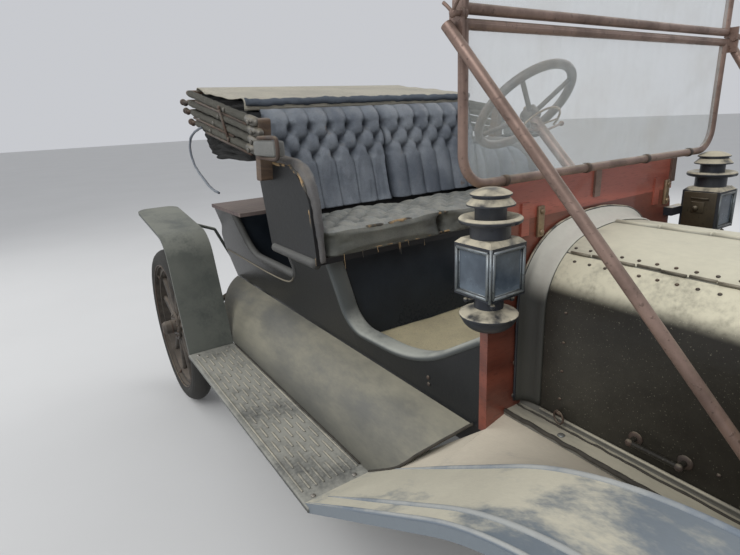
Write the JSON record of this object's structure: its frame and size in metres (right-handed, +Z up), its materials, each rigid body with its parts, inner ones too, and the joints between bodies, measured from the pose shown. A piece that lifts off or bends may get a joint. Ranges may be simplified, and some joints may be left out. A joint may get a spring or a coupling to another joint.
{
  "type": "open touring car with folded top and fold-down windshield",
  "caption": "Open motor car of about 1910 on spoked wheels, with a folded cloth top, two-part windshield, tufted bench, arched hood and a low rear box.",
  "frame": {"origin": "on the ground, midway between the two axles, on the car's middle line", "axes": "+X forward, +Y to the driver's left, +Z up"},
  "size_m": [3.3518, 1.604, 1.908],
  "materials": {
    "chassis_black": "matte",
    "engine_iron": "matte",
    "black_paint": "satin",
    "blue_black_paint": "satin",
    "dusty_metal": "matte",
    "aged_brass": "satin",
    "lamp_brass": "satin",
    "core_metal": "matte",
    "dark_wood": "satin",
    "dash_wood": "satin",
    "board_wood": "matte",
    "wheel_wood": "matte",
    "floor_mat": "matte",
    "seat_leather": "satin",
    "top_cloth": "matte",
    "window_glass": "gloss",
    "tyre_rubber": "matte"
  },
  "bodies": {
    "chassis": {"body_floor": "floor_mat", "body_panels": "blue_black_paint", "body_sides": "black_paint", "box_board": "board_wood", "chassis_frame": "chassis_black", "dash_board": "dash_wood", "dash_top_board": "dash_wood", "engine_block": "engine_iron", "foot_controls": "engine_iron", "front_axle": "chassis_black", "front_fender_aprons": "black_paint", "front_fenders": "black_paint", "headlamps": "lamp_brass", "hood_ledges": "dusty_metal", "hood_shroud": "black_paint", "hood_sides": "black_paint", "hood_tops": "dusty_metal", "leaf_springs": "chassis_black", "muffler": "chassis_black", "radiator_core": "core_metal", "radiator_shell": "aged_brass", "rear_axle": "chassis_black", "rear_fenders": "black_paint", "running_boards": "black_paint", "seat_back_pads": "seat_leather", "seat_cushions": "seat_leather", "seat_shell": "black_paint", "side_lamps": "lamp_brass", "splash_aprons": "dusty_metal", "starting_crank": "engine_iron", "steering_column": "aged_brass", "tail_lamp": "lamp_brass", "top_bows": "dark_wood", "top_cover": "top_cloth", "windshield_lower_frame": "aged_brass", "windshield_lower_glass": "window_glass", "windshield_stays": "aged_brass"},
    "knuckle_right": {"knuckle_right": "chassis_black"},
    "knuckle_left": {"knuckle_left": "chassis_black"},
    "tie_rod": {"tie_rod": "chassis_black"},
    "pitman": {"pitman_arm": "chassis_black"},
    "steering_wheel": {"steering_wheel": "dark_wood"},
    "windshield_top": {"windshield_upper_frame": "aged_brass", "windshield_upper_glass": "window_glass"},
    "front_right_wheel": {"wheel_front_right": "wheel_wood", "tyre_front_right": "tyre_rubber"},
    "front_left_wheel": {"wheel_front_left": "wheel_wood", "tyre_front_left": "tyre_rubber"},
    "rear_right_wheel": {"wheel_rear_right": "wheel_wood", "tyre_rear_right": "tyre_rubber"},
    "rear_left_wheel": {"wheel_rear_left": "wheel_wood", "tyre_rear_left": "tyre_rubber"}
  },
  "joints": [
    {"name": "knuckle_right_turn", "type": "hinge", "parent": "chassis", "child": "knuckle_right", "pos_m": [1.27, -0.62, 0.406], "axis": [0, 0, 1], "range_deg": [-30, 30]},
    {"name": "knuckle_left_turn", "type": "hinge", "parent": "chassis", "child": "knuckle_left", "pos_m": [1.27, 0.62, 0.406], "axis": [0, 0, 1], "range_deg": [-30, 30]},
    {"name": "tie_rod_turn", "type": "hinge", "parent": "knuckle_right", "child": "tie_rod", "pos_m": [1.12, -0.62, 0.4343], "axis": [0, 0, 1], "range_deg": [-30, 30]},
    {"name": "pitman_swing", "type": "hinge", "parent": "chassis", "child": "pitman", "pos_m": [1.03363, 0.215, 0.56137], "axis": [-0.7071, 0, 0.7071], "range_deg": [-30, 30]},
    {"name": "steering_wheel_turn", "type": "hinge", "parent": "chassis", "child": "steering_wheel", "pos_m": [0.18574, 0.215, 1.40926], "axis": [-0.7071, 0, 0.7071], "range_deg": [-120, 120]},
    {"name": "windshield_fold", "type": "hinge", "parent": "chassis", "child": "windshield_top", "pos_m": [0.663, 0, 1.568], "axis": [0, 1, 0], "range_deg": [0, 125]},
    {"name": "front_right_wheel_spin", "type": "hinge", "parent": "knuckle_right", "child": "front_right_wheel", "pos_m": [1.27, -0.714, 0.406], "axis": [0, 1, 0], "continuous": true},
    {"name": "front_left_wheel_spin", "type": "hinge", "parent": "knuckle_left", "child": "front_left_wheel", "pos_m": [1.27, 0.714, 0.406], "axis": [0, 1, 0], "continuous": true},
    {"name": "rear_right_wheel_spin", "type": "hinge", "parent": "chassis", "child": "rear_right_wheel", "pos_m": [-1.27, -0.714, 0.406], "axis": [0, 1, 0], "continuous": true},
    {"name": "rear_left_wheel_spin", "type": "hinge", "parent": "chassis", "child": "rear_left_wheel", "pos_m": [-1.27, 0.714, 0.406], "axis": [0, 1, 0], "continuous": true}
  ],
  "couplings": [
    {"joint": "knuckle_left_turn", "follows": "knuckle_right_turn", "ratio": 1},
    {"joint": "tie_rod_turn", "follows": "knuckle_right_turn", "ratio": -1},
    {"joint": "pitman_swing", "follows": "knuckle_right_turn", "ratio": 1},
    {"joint": "steering_wheel_turn", "follows": "knuckle_right_turn", "ratio": 4}
  ]
}
